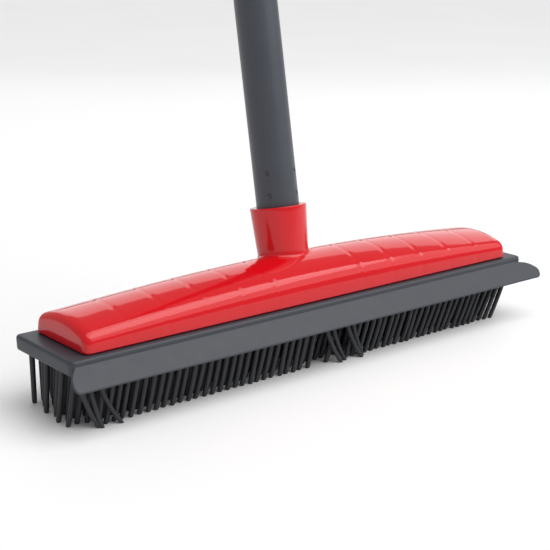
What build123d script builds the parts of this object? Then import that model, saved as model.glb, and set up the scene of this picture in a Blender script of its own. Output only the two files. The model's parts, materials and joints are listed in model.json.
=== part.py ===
"""Rubber-bristle carpet broom with a twist-lock telescopic pole, in millimetres.

+X runs along the head, -Y is the side with the wiping lip, +Z is up. The origin is on the floor,
at the tip of the middle bristle. The pole leans back, towards +Y, and lengths along it are
measured from the point where its axis meets the top of the rubber pad.
"""

import os
from math import cos, radians, sin

from build123d import *

os.makedirs("parts", exist_ok=True)

# ---- Head: driving dimensions -------------------------------------------------------------
PAD_LENGTH = 331.5
PAD_WIDTH = 59.0
PAD_TOP = 38.5  # height of the pad's top face above the floor
PAD_RIM_HEIGHT = 8.2
PAD_CORNER_R = 3.5
PAD_EDGE_R = 1.6
PAD_WALL = 3.0
PAD_FLOOR = 2.7
PAD_FLANGE = 1.8  # thickness of the rim that laps over the carrier plate
FLANGE_LAP = 12.0  # how far that rim reaches in from each side

BRISTLE_PITCH = 5.2  # along a row
BRISTLE_ROWS = 7
BRISTLE_ROW_PITCH = 8.0
BRISTLES_LONG_ROW = 62  # the rows between these have one fewer and stand half a pitch over
BRISTLE_R = 1.35
FIELD_MARGIN = 1.0  # web left round the outer bristles
FIELD_WEB = 1.2

LIP_REACH = 9.5  # how far the lip stands out in front of the pad
LIP_DROP = 10.6  # how far it hangs below its root
LIP_ROOT_DEPTH = 2.9  # the root's depth below the pad's top
LIP_THICKNESS = 2.0
LIP_OVERHANG = 7.8  # how far the lip's rounded ends pass the ends of the pad
LIP_BELLY_SHARE = 0.55  # how far down the lip its ends are widest

SHELL_LENGTH = 310.4
SHELL_WIDTH = 51.6
SHELL_WALL = 2.2
SHELL_CORNER_R = 4.0
SHELL_EDGE_R = 3.0
SHELL_DRAFT = 4.0  # degrees
SIDE_END, SIDE_MIDDLE = 9.4, 13.0  # height of the long walls at the ends and half way along
CROWN_END, CROWN_MIDDLE = 14.4, 22.3  # height of the domed top, likewise
RIB_X = (32.0, 56.0, 80.0, 104.0, 128.0)
RIB_THICKNESS = 1.4
RIB_LIFT = 3.0  # clear of the carrier plate
BOSS_X = (44.0, 92.0, 142.0)
BOSS_R = 4.0
BOSS_HOLE_R = 1.45
BOSS_HOLE_DEPTH = 11.0
SCREW_R = 1.75
SCREW_HEAD_R = 3.6
SCREW_HEAD = 1.9
SCREW_LENGTH = 13.0

# ---- Socket and pole: driving dimensions --------------------------------------------------
POLE_LEAN = 10.0  # degrees
POLE_Y = 6.5
SOCKET_TOP = 49.0
SOCKET_TOP_R = 16.6
SOCKET_FOOT_R = 14.4
SOCKET_FLARE_R = 17.2
FLARE_LOW, FLARE_HIGH = 12.0, 24.0
WELL_FOOT = 2.0
RUN = 0.1  # radial clearance of parts that turn or slide in each other
FIT = 0.02  # radial clearance of parts pressed together
END_GAP = 0.3  # clearance end to end of parts that move on each other

TUBE_R = 12.5
TUBE_WALL = 0.8
TUBE_FOOT = 27.0
TUBE_LENGTH = 480.0
PUNCH_ROWS = (55.5, 68.5)
PUNCH_START = 31.2  # degrees round the tube from +X
PUNCH_R = 2.0
PUNCH_DEPTH = 0.6

THREAD_R = 9.5
THREAD_ROOT_R = 8.5
THREAD_PITCH = 4.0
THREAD_TURNS = 5
PLUG_TOP = 62.0

COLLAR_R = 14.6
COLLAR_FOOT = 478.0
COLLAR_TOP = 514.0
COLLAR_EDGE = 0.8

UPPER_R = 11.0
UPPER_WALL = 0.8
UPPER_FOOT = 98.0
UPPER_TOP = 630.0
SLEEVE_FOOT, SLEEVE_TOP = 70.0, 94.5
SLEEVE_BORE_R = 8.1
SLEEVE_SLIT = 2.0
CAM_R = 6.6
CAM_OFFSET = 1.3
CAM_STOP_R = 9.6
CAM_STOP_THICKNESS = 3.5
CAM_PLUG_LENGTH = 20.0

GRIP_FOOT, GRIP_TOP = 520.0, 640.0
GRIP_CORE_R = 13.2
GRIP_R = 15.5
GRIP_RING_DEPTH = 0.9
GRIP_RINGS = 9
GRIP_GROOVE = 3.0
GRIP_SHOULDER = 4.0
END_PLUG_R = 15.0
END_PLUG_DEPTH = 24.0
END_PLUG_TOP = 646.0
EYE_SHANK_R = 4.0
EYE_SHANK_DEPTH = 18.0
EYE_FLANGE_R = 11.0
EYE_FLANGE_THICKNESS = 3.0
EYE_R = 10.0
EYE_NECK = 15.0
EYE_HOLE_R = 5.0
EYE_THICKNESS = 7.0
EYE_RISE = 14.0  # height of the hole above the flange

# ---- Worked out from the driving dimensions -----------------------------------------------
PAD_BOTTOM = PAD_TOP - PAD_RIM_HEIGHT
CAVITY_BOTTOM = PAD_BOTTOM + PAD_FLOOR
CAVITY_TOP = PAD_TOP - PAD_FLANGE
PLATE_LENGTH = PAD_LENGTH - 2 * PAD_WALL
PLATE_WIDTH = PAD_WIDTH - 2 * PAD_WALL
OPENING_LENGTH = PAD_LENGTH - 2 * FLANGE_LAP
OPENING_WIDTH = PAD_WIDTH - 2 * FLANGE_LAP
FIELD_LENGTH = (BRISTLES_LONG_ROW - 1) * BRISTLE_PITCH + 2 * (BRISTLE_R + FIELD_MARGIN)
FIELD_WIDTH = (BRISTLE_ROWS - 1) * BRISTLE_ROW_PITCH + 2 * (BRISTLE_R + FIELD_MARGIN)
TUBE_BORE_R = TUBE_R - TUBE_WALL
TUBE_TOP = TUBE_FOOT + TUBE_LENGTH
THREAD_FOOT = TUBE_FOOT - THREAD_PITCH * THREAD_TURNS
POLE = Plane(
    origin=(0, POLE_Y, PAD_TOP),
    x_dir=(1, 0, 0),
    z_dir=(0, sin(radians(POLE_LEAN)), cos(radians(POLE_LEAN))),
)


def write(part, name):
    """Label a finished piece and write its STEP file."""
    part.label = name
    export_step(part, f"parts/{name}.step")
    print(name, round(part.volume), "mm3")


def disc(height, outer, inner=0.0):
    """A round or ring-shaped face across the pole's axis, at a length along the pole."""
    with BuildSketch(POLE.offset(height)) as face:
        Circle(outer)
        if inner:
            Circle(inner, mode=Mode.SUBTRACT)
    return face.sketch


# ---- Rubber pad ---------------------------------------------------------------------------
# The pad, its bristles and its wiping lip are moulded in one. They are three nodes here, which
# meet face to face: the tray that laps over the carrier plate's edge comes first.
with BuildPart() as pad_outline:
    with BuildSketch(Plane.XY.offset(PAD_BOTTOM)):
        RectangleRounded(PAD_LENGTH, PAD_WIDTH, PAD_CORNER_R)
    extrude(amount=PAD_RIM_HEIGHT)
    fillet(pad_outline.faces().sort_by(Axis.Z)[-1].edges(), PAD_EDGE_R)

with BuildPart() as rubber_pad:
    add(pad_outline.part)
    with BuildSketch(Plane.XY.offset(CAVITY_BOTTOM)):
        RectangleRounded(PLATE_LENGTH, PLATE_WIDTH, PAD_CORNER_R - PAD_WALL)
    extrude(amount=CAVITY_TOP - CAVITY_BOTTOM, mode=Mode.SUBTRACT)
    with BuildSketch(Plane.XY.offset(CAVITY_TOP)):
        RectangleRounded(OPENING_LENGTH, OPENING_WIDTH, PAD_CORNER_R)
    extrude(amount=PAD_FLANGE, mode=Mode.SUBTRACT)
    with BuildSketch(Plane.XY.offset(PAD_BOTTOM)):
        Rectangle(FIELD_LENGTH, FIELD_WIDTH)
    extrude(amount=FIELD_WEB, mode=Mode.SUBTRACT)

write(rubber_pad.part, "rubber_pad")

# ---- Bristles -----------------------------------------------------------------------------
# Long and short rows take turns, so that each bristle stands between two of the next row. The
# web that they grow from is the lower layer of the pad's floor.
with BuildPart() as bristle_field:
    with BuildSketch(Plane.XY.offset(PAD_BOTTOM)):
        Rectangle(FIELD_LENGTH, FIELD_WIDTH)
    extrude(amount=FIELD_WEB)
    with BuildSketch(Plane.XY.offset(PAD_BOTTOM)):
        for row in range(BRISTLE_ROWS):
            row_y = (row - (BRISTLE_ROWS - 1) / 2) * BRISTLE_ROW_PITCH
            with Locations((0, row_y)):
                with GridLocations(BRISTLE_PITCH, 1, BRISTLES_LONG_ROW - row % 2, 1):
                    Circle(BRISTLE_R)
    extrude(amount=-PAD_BOTTOM)

write(bristle_field.part, "bristle_field")

# ---- Wiping lip ---------------------------------------------------------------------------
# A flat blade that slopes forwards and down from the pad's front, with rounded ends.
lip_slope = Plane(
    origin=(0, -PAD_WIDTH / 2, PAD_TOP - LIP_ROOT_DEPTH),
    x_dir=(1, 0, 0),
    z_dir=(0, -LIP_DROP, LIP_REACH),
)
lip_depth = (LIP_REACH**2 + LIP_DROP**2) ** 0.5
lip_belly = -LIP_BELLY_SHARE * lip_depth
root_x = PAD_LENGTH / 2 - PAD_CORNER_R

with BuildPart() as wiping_lip:
    with BuildSketch(lip_slope):
        with BuildLine():
            edge = Line((-PAD_LENGTH / 2, -lip_depth), (PAD_LENGTH / 2, -lip_depth))
            right = Spline(
                edge @ 1,
                (PAD_LENGTH / 2 + LIP_OVERHANG, lip_belly),
                (root_x, LIP_THICKNESS),
                tangents=((1, 0), (-1, 1)),
            )
            root = Line(right @ 1, (-root_x, LIP_THICKNESS))
            Spline(
                root @ 1,
                (-PAD_LENGTH / 2 - LIP_OVERHANG, lip_belly),
                edge @ 0,
                tangents=((-1, -1), (1, 0)),
            )
        make_face()
    extrude(amount=-LIP_THICKNESS)
    add(pad_outline.part, mode=Mode.SUBTRACT)

write(wiping_lip.part, "wiping_lip")

# ---- Carrier plate ------------------------------------------------------------------------
# Rigid plate inside the pad. A raised land fills the pad's opening and meets the shell's bosses.
screw_sites = [(side * x, 0) for x in BOSS_X for side in (-1, 1)]

with BuildPart() as carrier_plate:
    with BuildSketch(Plane.XY.offset(CAVITY_BOTTOM)):
        RectangleRounded(PLATE_LENGTH - 0.2, PLATE_WIDTH - 0.2, PAD_CORNER_R - PAD_WALL)
    extrude(amount=CAVITY_TOP - CAVITY_BOTTOM)
    with BuildSketch(Plane.XY.offset(CAVITY_TOP)):
        RectangleRounded(OPENING_LENGTH - 0.4, OPENING_WIDTH - 0.4, PAD_CORNER_R)
    extrude(amount=PAD_FLANGE)
    with Locations(Plane(origin=(0, 0, CAVITY_BOTTOM), x_dir=(1, 0, 0), z_dir=(0, 0, -1))):
        with Locations(*screw_sites):
            CounterBoreHole(SCREW_R + 0.15, SCREW_HEAD_R + 0.2, SCREW_HEAD + 0.2)

write(carrier_plate.part, "carrier_plate")

# ---- Carrier screws -----------------------------------------------------------------------
with BuildPart() as carrier_screws:
    for site in screw_sites:
        with BuildSketch(Plane.XY.offset(CAVITY_BOTTOM + 0.2)):
            with Locations(site):
                Circle(SCREW_HEAD_R)
        extrude(amount=SCREW_HEAD)
        with BuildSketch(Plane.XY.offset(CAVITY_BOTTOM + 0.2 + SCREW_HEAD)):
            with Locations(site):
                Circle(SCREW_R)
        extrude(amount=SCREW_LENGTH)

write(carrier_screws.part, "carrier_screws")


# ---- Head shell ---------------------------------------------------------------------------
def shell_height(end, middle, x):
    """Height at a place along the shell: a parabola from the ends' height to the middle's."""
    return middle - (middle - end) * (2 * x / SHELL_LENGTH) ** 2


def shell_section(x, inset):
    """The shell's cross-section at x: a flat foot, two drafted walls and an arched top.

    The inset moves walls and top inwards, for the hollow.
    """
    side = shell_height(SIDE_END, SIDE_MIDDLE, x) - inset
    crown = shell_height(CROWN_END, CROWN_MIDDLE, x) - inset
    foot = SHELL_WIDTH / 2 - inset
    shoulder = foot - side * sin(radians(SHELL_DRAFT))
    with BuildSketch(Plane(origin=(x, 0, PAD_TOP), x_dir=(0, 1, 0), z_dir=(1, 0, 0))) as section:
        with BuildLine():
            walls = Polyline((-shoulder, side), (-foot, 0), (foot, 0), (shoulder, side))
            ThreePointArc(walls @ 1, (0, crown), walls @ 0)
        make_face()
    return section.sketch


def shell_sections(inset):
    """Five cross-sections from end to end."""
    half = SHELL_LENGTH / 2 - inset
    return [shell_section(place * half, inset) for place in (-1, -0.5, 0, 0.5, 1)]


with BuildPart() as shell_hollow:
    loft(shell_sections(SHELL_WALL))

# Inside: cross ribs, screw bosses and the well round the socket's thread, cut to the hollow.
with BuildPart() as shell_inside:
    with BuildSketch(Plane.XY.offset(PAD_TOP + RIB_LIFT)):
        with Locations(*[(side * x, 0) for x in RIB_X for side in (-1, 1)]):
            Rectangle(RIB_THICKNESS, SHELL_WIDTH)
    extrude(amount=CROWN_MIDDLE)
    with BuildSketch(Plane.XY.offset(PAD_TOP)):
        with Locations(*screw_sites):
            Circle(BOSS_R)
    extrude(amount=CROWN_MIDDLE)
    extrude(disc(WELL_FOOT, SOCKET_FOOT_R), amount=SOCKET_TOP - WELL_FOOT)
    add(shell_hollow.part, mode=Mode.INTERSECT)

with BuildPart() as head_shell:
    loft(shell_sections(0))
    corners = head_shell.edges().filter_by(
        lambda e: abs(e.center().X) > SHELL_LENGTH / 2 - 1
        and abs(e.center().Y) > SHELL_WIDTH / 3
        and PAD_TOP + 1 < e.center().Z < PAD_TOP + SIDE_END
    )
    fillet(corners, SHELL_CORNER_R)
    fillet(head_shell.faces().sort_by(Axis.Z)[-1].edges(), SHELL_EDGE_R)
    # The socket: a cone that widens upwards, on a flared foot that the dome runs into.
    loft([disc(FLARE_LOW, SOCKET_FLARE_R), disc(FLARE_HIGH, SOCKET_FOOT_R)])
    loft([disc(FLARE_LOW, SOCKET_FOOT_R), disc(SOCKET_TOP, SOCKET_TOP_R)])
    add(shell_hollow.part, mode=Mode.SUBTRACT)
    add(shell_inside.part)
    extrude(disc(TUBE_FOOT - END_GAP, TUBE_R + RUN), amount=SOCKET_TOP, mode=Mode.SUBTRACT)
    extrude(disc(THREAD_FOOT - END_GAP, THREAD_R + RUN), amount=SOCKET_TOP, mode=Mode.SUBTRACT)
    with BuildSketch(Plane.XY.offset(PAD_TOP)):
        with Locations(*screw_sites):
            Circle(BOSS_HOLE_R)
    extrude(amount=BOSS_HOLE_DEPTH, mode=Mode.SUBTRACT)

write(head_shell.part, "head_shell")

# ---- Lower tube ---------------------------------------------------------------------------
with BuildPart() as lower_tube:
    extrude(disc(TUBE_FOOT, TUBE_R, TUBE_BORE_R), amount=TUBE_LENGTH)
    for row_height in PUNCH_ROWS:
        with Locations(POLE.offset(row_height)):
            with PolarLocations(TUBE_R + PUNCH_R - PUNCH_DEPTH, 4, start_angle=PUNCH_START):
                Sphere(PUNCH_R, mode=Mode.SUBTRACT)

write(lower_tube.part, "lower_tube")

# ---- Threaded plug ------------------------------------------------------------------------
# The thread is drawn as rings, one for each turn.
with BuildPart() as threaded_plug:
    extrude(disc(TUBE_FOOT, TUBE_BORE_R - FIT), amount=PLUG_TOP - TUBE_FOOT)
    extrude(disc(THREAD_FOOT, THREAD_ROOT_R), amount=TUBE_FOOT - THREAD_FOOT)
    for turn in range(THREAD_TURNS):
        foot = THREAD_FOOT + THREAD_PITCH * (turn + 0.25)
        middle = foot + THREAD_PITCH / 4
        loft([disc(foot, THREAD_ROOT_R), disc(middle, THREAD_R)])
        loft([disc(middle, THREAD_R), disc(middle + THREAD_PITCH / 4, THREAD_ROOT_R)])

write(threaded_plug.part, "threaded_plug")

# ---- Guide collar -------------------------------------------------------------------------
with BuildPart() as guide_collar:
    extrude(disc(COLLAR_FOOT, COLLAR_R, TUBE_R + FIT), amount=TUBE_TOP - COLLAR_FOOT)
    extrude(disc(TUBE_TOP, COLLAR_R, UPPER_R + RUN), amount=COLLAR_TOP - TUBE_TOP)
    chamfer(
        guide_collar.edges().filter_by(GeomType.CIRCLE).sort_by(SortBy.RADIUS)[-2:], COLLAR_EDGE
    )

write(guide_collar.part, "guide_collar")

# ---- Lock sleeve and cam ------------------------------------------------------------------
# The cam turns off-centre inside the split sleeve and spreads it against the lower tube.
with BuildPart() as lock_sleeve:
    extrude(disc(SLEEVE_FOOT, TUBE_BORE_R - RUN, SLEEVE_BORE_R), amount=SLEEVE_TOP - SLEEVE_FOOT)
    with BuildSketch(POLE.offset(SLEEVE_FOOT)):
        with Locations((TUBE_R / 2, 0)):
            Rectangle(TUBE_R, SLEEVE_SLIT)
    extrude(amount=SLEEVE_TOP - SLEEVE_FOOT, mode=Mode.SUBTRACT)

write(lock_sleeve.part, "lock_sleeve")

with BuildPart() as cam_core:
    extrude(disc(SLEEVE_FOOT - END_GAP, CAM_STOP_R), amount=-CAM_STOP_THICKNESS)
    with BuildSketch(POLE.offset(SLEEVE_FOOT - END_GAP)):
        with Locations((CAM_OFFSET, 0)):
            Circle(CAM_R)
    extrude(amount=SLEEVE_TOP - SLEEVE_FOOT + 2 * END_GAP)
    extrude(disc(SLEEVE_TOP + END_GAP, UPPER_R), amount=UPPER_FOOT - SLEEVE_TOP - END_GAP)
    extrude(disc(UPPER_FOOT, UPPER_R - UPPER_WALL - FIT), amount=CAM_PLUG_LENGTH)

write(cam_core.part, "cam_core")

# ---- Upper tube and grip ------------------------------------------------------------------
with BuildPart() as upper_tube:
    extrude(disc(UPPER_FOOT, UPPER_R, UPPER_R - UPPER_WALL), amount=UPPER_TOP - UPPER_FOOT)

write(upper_tube.part, "upper_tube")

with BuildPart() as grip_core:
    extrude(disc(GRIP_FOOT, GRIP_CORE_R, UPPER_R + FIT), amount=GRIP_TOP - GRIP_FOOT)
    extrude(disc(GRIP_FOOT, GRIP_R, UPPER_R + FIT), amount=GRIP_SHOULDER)

write(grip_core.part, "grip_core")

with BuildPart() as hand_grip:
    grip_low = GRIP_FOOT + GRIP_SHOULDER
    extrude(disc(grip_low, GRIP_R, GRIP_CORE_R + FIT), amount=GRIP_TOP - grip_low)
    ring_step = (GRIP_TOP - grip_low) / (GRIP_RINGS + 1)
    for groove in range(GRIP_RINGS):
        groove_low = grip_low + (groove + 1) * ring_step - GRIP_GROOVE / 2
        extrude(
            disc(groove_low, GRIP_R, GRIP_R - GRIP_RING_DEPTH),
            amount=GRIP_GROOVE,
            mode=Mode.SUBTRACT,
        )

write(hand_grip.part, "hand_grip")

with BuildPart() as grip_end_plug:
    extrude(disc(UPPER_TOP, UPPER_R - UPPER_WALL - FIT), amount=-END_PLUG_DEPTH)
    extrude(disc(UPPER_TOP, UPPER_R), amount=GRIP_TOP - UPPER_TOP)
    extrude(disc(GRIP_TOP, END_PLUG_R), amount=END_PLUG_TOP - GRIP_TOP)
    extrude(
        disc(END_PLUG_TOP, EYE_SHANK_R + RUN),
        amount=-(EYE_SHANK_DEPTH + END_GAP),
        mode=Mode.SUBTRACT,
    )

write(grip_end_plug.part, "grip_end_plug")

# ---- Hanging eye --------------------------------------------------------------------------
EYE_LOW = END_PLUG_TOP + END_GAP
EYE_TOP = EYE_LOW + EYE_FLANGE_THICKNESS
EYE_PLANE = Plane(
    origin=(POLE.offset(EYE_TOP + EYE_RISE)).origin,
    x_dir=(1, 0, 0),
    z_dir=-POLE.y_dir,
)

with BuildPart() as hang_eye:
    extrude(disc(EYE_LOW, EYE_SHANK_R), amount=-EYE_SHANK_DEPTH)
    extrude(disc(EYE_LOW, EYE_FLANGE_R), amount=EYE_FLANGE_THICKNESS)
    with BuildSketch(EYE_PLANE):
        Circle(EYE_R)
        with Locations((0, -EYE_RISE / 2)):
            Rectangle(EYE_NECK, EYE_RISE)
    extrude(amount=EYE_THICKNESS / 2, both=True)
    with BuildSketch(EYE_PLANE):
        Circle(EYE_HOLE_R)
    extrude(amount=EYE_THICKNESS, both=True, mode=Mode.SUBTRACT)

write(hang_eye.part, "hang_eye")
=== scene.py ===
# %% [markdown]
# # A rubber carpet broom
#
# The broom has a glossy red head over a dark rubber pad. The pad has a wiping lip along its front
# and hundreds of soft bristles below, and the head stands on a grey painted pole. The CAD model
# gives every size and place. This lesson gives each piece a finished surface, a material and light.
#
# +X runs along the head, -Y is the side with the lip, +Z is up, and the floor is at zero. Shapes
# are worked out in millimetres, which suit a thing of this size, and `MM` turns them into
# Blender's metres.

# %% Load the CAD frame
import json
import math

import bmesh
import bpy
import numpy as np
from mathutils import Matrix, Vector


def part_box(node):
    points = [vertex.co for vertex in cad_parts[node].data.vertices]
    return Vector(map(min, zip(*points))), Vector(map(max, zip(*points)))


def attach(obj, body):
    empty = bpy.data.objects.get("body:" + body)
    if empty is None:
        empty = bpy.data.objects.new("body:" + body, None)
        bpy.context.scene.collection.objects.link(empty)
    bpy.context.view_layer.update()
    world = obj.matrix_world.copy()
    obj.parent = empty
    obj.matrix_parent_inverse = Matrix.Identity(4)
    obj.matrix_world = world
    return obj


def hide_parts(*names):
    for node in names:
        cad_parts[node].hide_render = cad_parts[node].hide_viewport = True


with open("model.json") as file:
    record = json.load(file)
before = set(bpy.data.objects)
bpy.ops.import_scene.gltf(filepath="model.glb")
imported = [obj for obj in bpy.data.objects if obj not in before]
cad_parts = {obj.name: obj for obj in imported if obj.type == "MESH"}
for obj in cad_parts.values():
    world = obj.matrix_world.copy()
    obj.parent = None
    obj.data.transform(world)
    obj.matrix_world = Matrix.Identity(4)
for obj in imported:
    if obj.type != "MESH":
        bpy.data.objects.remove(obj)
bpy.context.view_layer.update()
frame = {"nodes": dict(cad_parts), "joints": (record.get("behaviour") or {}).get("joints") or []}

MM = 0.001

# %% [markdown]
# ## Places read from the frame
#
# Sizes come from the CAD nodes' boxes, and the pole's axis from the joint that it turns on, so
# nothing has to be fitted by eye. Lengths along the pole are counted from the point where its axis
# meets the top of the pad, as in the CAD model.

# %% Sizes of the head and the pole's axis
def box_mm(node):
    """Lowest and highest corner of a CAD node, in millimetres."""
    return [np.array(corner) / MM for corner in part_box(node)]


PAD_LOW, PAD_HIGH = box_mm("rubber_pad")
SHELL_LOW, SHELL_HIGH = box_mm("head_shell")
FIELD_HIGH = box_mm("bristle_field")[1]
PAD_TOP, PAD_BOTTOM = PAD_HIGH[2], PAD_LOW[2]

turning = next(j for j in frame["joints"] if j["name"] == "pole_unscrew")
AXIS = np.array(turning["axis"]) / np.linalg.norm(turning["axis"])
ACROSS = np.array([1.0, 0.0, 0.0])
BEHIND = np.cross(AXIS, ACROSS)
seat = np.array(turning["pos_m"]) / MM
POLE_FOOT = seat - AXIS * (seat[2] - PAD_TOP) / AXIS[2]


def span(node):
    """First and last length along the pole that a CAD node reaches, and its widest radius."""
    mesh = frame["nodes"][node].data
    points = np.empty(len(mesh.vertices) * 3)
    mesh.vertices.foreach_get("co", points)
    points = points.reshape(-1, 3) / MM - POLE_FOOT
    along = points @ AXIS
    return along.min(), along.max(), np.linalg.norm(points - along[:, None] * AXIS, axis=1).max()


print("pole foot", POLE_FOOT.round(2), "axis", AXIS.round(4))
print("lower tube reaches", [round(v, 1) for v in span("lower_tube")])

# %% [markdown]
# ## Camera
#
# The camera looks down a little on the front left of the head, close enough for the near end to
# look larger than the far end. It is placed by a turn round the head, a height and a distance, and
# then slid sideways without turning, as a tripod is shifted, so that the head and the lower part
# of the pole fill the frame.

# %% Camera
VIEW_TURN = math.radians(38.8)
VIEW_HEIGHT = math.radians(15.48)
VIEW_DISTANCE = 0.7434
VIEW_SLIDE = Vector((-11.09 * MM, 9.22 * MM, 0))
VIEW_LENS = 83.43
VIEW_NEAREST = 0.01

toward_camera = Vector((
    -math.sin(VIEW_TURN) * math.cos(VIEW_HEIGHT),
    -math.cos(VIEW_TURN) * math.cos(VIEW_HEIGHT),
    math.sin(VIEW_HEIGHT),
))
camera = bpy.data.objects.new("camera", bpy.data.cameras.new("camera"))
bpy.context.scene.collection.objects.link(camera)
camera.data.lens = VIEW_LENS
camera.data.clip_start = VIEW_NEAREST
camera.rotation_mode = "QUATERNION"
camera.rotation_quaternion = (-toward_camera).to_track_quat("-Z", "Y")
camera.location = (
    Vector((0, 0, PAD_TOP * MM))
    + toward_camera * VIEW_DISTANCE
    + camera.rotation_quaternion @ VIEW_SLIDE
)
bpy.context.scene.camera = camera
print("camera at", tuple(round(v, 3) for v in camera.location))


# %% [markdown]
# ## Surfaces from grids
#
# Every new piece is a grid of points: one parameter runs along its profile and the other runs
# round it. The first and last rows shrink to a point or a line, or the rows join up in a ring, so
# the surface is closed. Doubled points are merged, and the faces are then turned outwards.

# %% Grid to finished piece
# Points closer than this many metres, a thousandth of a millimetre, are merged into one.
MERGE_DISTANCE = 1e-6


def grid_faces(rows, columns, join_rows=False):
    """Quads of a grid: each joins a point, the next in its row, and the two below them.

    The last column is joined to the first, and the last row to the first if asked.
    """
    r = np.arange(rows if join_rows else rows - 1)[:, None]
    c = np.arange(columns)[None, :]
    r1, c1 = (r + 1) % rows, (c + 1) % columns
    corners = (r * columns + c, r * columns + c1, r1 * columns + c1, r1 * columns + c)
    return np.stack(corners, -1).reshape(-1, 4)


def joined(*grids):
    """Several (points, faces) pairs as one, with each face's indices moved past earlier points."""
    points = [np.reshape(points, (-1, 3)) for points, _ in grids]
    starts = np.cumsum([0] + [len(p) for p in points[:-1]])
    faces = [np.reshape(faces, (-1, 4)) + start for (_, faces), start in zip(grids, starts)]
    return np.concatenate(points), np.concatenate(faces)


def make_piece(name, points, faces, body, material, slot, stands_for=()):
    """Turn points in millimetres and faces into a closed, smooth piece that rides on a body."""
    mesh = bpy.data.meshes.new(name)
    mesh.from_pydata(np.asarray(points).reshape(-1, 3) * MM, [], np.asarray(faces).tolist())
    work = bmesh.new()
    work.from_mesh(mesh)
    bmesh.ops.remove_doubles(work, verts=work.verts, dist=MERGE_DISTANCE)
    bmesh.ops.dissolve_degenerate(work, edges=work.edges, dist=MERGE_DISTANCE)
    bmesh.ops.recalc_face_normals(work, faces=work.faces)
    open_edges = sum(len(edge.link_faces) != 2 for edge in work.edges)
    work.to_mesh(mesh)
    work.free()
    mesh.polygons.foreach_set("use_smooth", np.ones(len(mesh.polygons), bool))
    mesh.materials.append(material)
    piece = bpy.data.objects.new(name, mesh)
    bpy.context.scene.collection.objects.link(piece)
    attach(piece, body)
    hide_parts(*stands_for)
    print(name, len(mesh.polygons), "faces,", open_edges, "open edges")


# %% [markdown]
# ## Rounded corners
#
# A moulded or rolled edge is never quite sharp, and its small round catches a line of light. Each
# corner of a profile is swapped for a short curve. A quadratic Bezier curve does this for any
# angle: it starts on one side of the corner, leans towards the corner and ends on the other side.

# %% Round the corners of a profile
def soften(profile, radius, steps=4):
    """Swap each inner corner for a Bezier curve that starts and ends a radius from it.

    The radius is one number, or one for each inner corner, and at most 0.45 of either side.
    """
    profile = np.asarray(profile, float)
    corner = profile[1:-1]
    before, after = profile[:-2] - corner, profile[2:] - corner
    reach_before = np.linalg.norm(before, axis=1)
    reach_after = np.linalg.norm(after, axis=1)
    radius = np.minimum(radius, 0.45 * np.minimum(reach_before, reach_after))
    start = corner + before * (radius / reach_before)[:, None]
    end = corner + after * (radius / reach_after)[:, None]
    t = np.linspace(0, 1, steps + 1)[None, :, None]
    curve = (1 - t) ** 2 * start[:, None] + 2 * t * (1 - t) * corner[:, None] + t**2 * end[:, None]
    return np.concatenate([profile[:1], curve.reshape(-1, profile.shape[1]), profile[-1:]])


# %% [markdown]
# ## Outlines of the head
#
# Shell and pad are long rectangles with rounded corners. `rounded_ring` walks round one with a
# fixed number of points on each side and corner, so that rings of any size line up point by point.
# A ring with no width has become a line down the middle, which closes a surface.

# %% A rounded rectangle as a ring of points
LONG_STEPS, SHORT_STEPS, CORNER_STEPS = 220, 34, 12


def rounded_ring(half_length, half_width, radius):
    """Four quarter arcs joined by evenly divided straight runs, anticlockwise from the +X side.

    Each arc is centred a radius in from its corner.
    """
    half = np.maximum([half_length, half_width], 0)
    radius = np.clip(radius, 0, half.min())
    turn = np.linspace(0, math.pi / 2, CORNER_STEPS + 1)
    arc = radius * np.stack([np.cos(turn), np.sin(turn)], -1)
    centre = half - radius
    corners = [
        centre + arc,
        centre * (-1, 1) + arc[::-1] * (-1, 1),
        -centre - arc,
        centre * (1, -1) + arc[::-1] * (1, -1),
    ]
    ring = []
    for index, corner in enumerate(corners):
        steps = LONG_STEPS if index % 2 == 0 else SHORT_STEPS
        share = np.linspace(0, 1, steps + 1)[1:-1, None]
        ring += [corner, corner[-1] + share * (corners[(index + 1) % 4][0] - corner[-1])]
    return np.concatenate(ring)


def lifted(ring, height):
    """A flat ring of points at a height, which may differ from point to point."""
    return np.concatenate([ring, np.broadcast_to(height, (len(ring),))[:, None]], axis=1)


print("points in a ring", len(rounded_ring(*PAD_HIGH[:2], 0)))

# %% [markdown]
# ## Materials
#
# Each material is a small set of nodes on the principled shader: Object coordinates, noise at the
# size of the real pattern, a little variation in colour and gloss, and a bump. `add_node` is the
# one helper: it makes a node, sets its values and links its inputs. `linear` turns the hex colour
# that a picker shows into the light values that Blender works in.

# %% Node helper and colour
def linear(hex_colour):
    """sRGB hex to linear RGBA: a straight line near black, and a power of 2.4 above that."""
    c = np.array([int(hex_colour[i:i + 2], 16) for i in (1, 3, 5)]) / 255
    return (*np.where(c <= 0.04045, c / 12.92, ((c + 0.055) / 1.055) ** 2.4), 1.0)


def add_node(tree, kind, values=(), links=(), **settings):
    """Add a node, set its properties, its input values and the links that feed its inputs."""
    node = tree.nodes.new(kind)
    for key, value in settings.items():
        setattr(node, key, value)
    for key, value in dict(values).items():
        node.inputs[key].default_value = value
    for key, source in dict(links).items():
        tree.links.new(source, node.inputs[key])
    return node


# %% [markdown]
# ### Moulded and coated surfaces
#
# Plastic, rubber and paint differ here in colour, gloss and grain, and not in kind: a coloured
# base under a clear, colourless reflection. So one function builds them all. Its patches are a
# slow drift of colour and gloss, and its grain is the fine bump of the mould or the paint.

# %% Build a moulded or coated surface
# The mix node keeps one A, B and Result for each kind of data, and these are the colour ones.
MIX_A, MIX_B, MIX_RESULT = 6, 7, 2
PATCH_DETAIL, GRAIN_DETAIL = 4.0, 2.0
GLOSS_SPREAD = 0.15


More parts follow.
